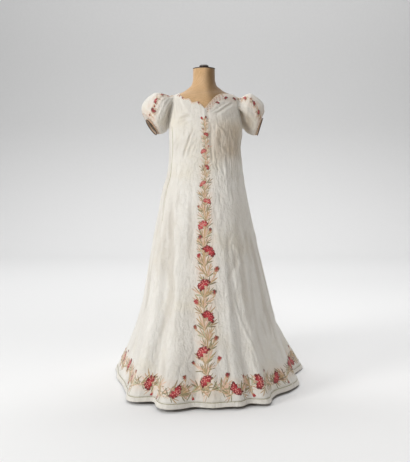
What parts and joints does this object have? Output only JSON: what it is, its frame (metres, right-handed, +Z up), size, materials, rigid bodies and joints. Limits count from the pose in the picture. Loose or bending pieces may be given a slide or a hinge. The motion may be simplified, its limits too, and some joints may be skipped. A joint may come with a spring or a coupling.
{
  "type": "regency gown on a dress form",
  "caption": "Long muslin gown with puffed sleeves, notched low neckline and short train, worn by a limbless dress form on a round stand.",
  "frame": {"origin": "middle of the underside of the stand's base, on the floor", "axes": "+Z up, the gown faces -Y, +X towards the wearer's left"},
  "size_m": [0.9069, 1.0564, 1.4266],
  "materials": {
    "muslin": "fine cream cotton muslin, matt and a little sheer",
    "form_linen": "tan linen stretched over the form",
    "dark_wood": "near-black turned wood, satin",
    "stand_iron": "black painted iron"
  },
  "bodies": {
    "root": {"gown_front": "muslin", "gown_back_left": "muslin", "gown_back_right": "muslin", "hem_band_front": "muslin", "hem_band_back_left": "muslin", "hem_band_back_right": "muslin", "sleeve_left": "muslin", "sleeve_right": "muslin", "cuff_left": "muslin", "cuff_right": "muslin", "form_torso": "form_linen", "form_neck_cap": "dark_wood", "form_neck_knob": "dark_wood", "stand_pole": "dark_wood", "stand_base": "stand_iron"}
  },
  "joints": []
}
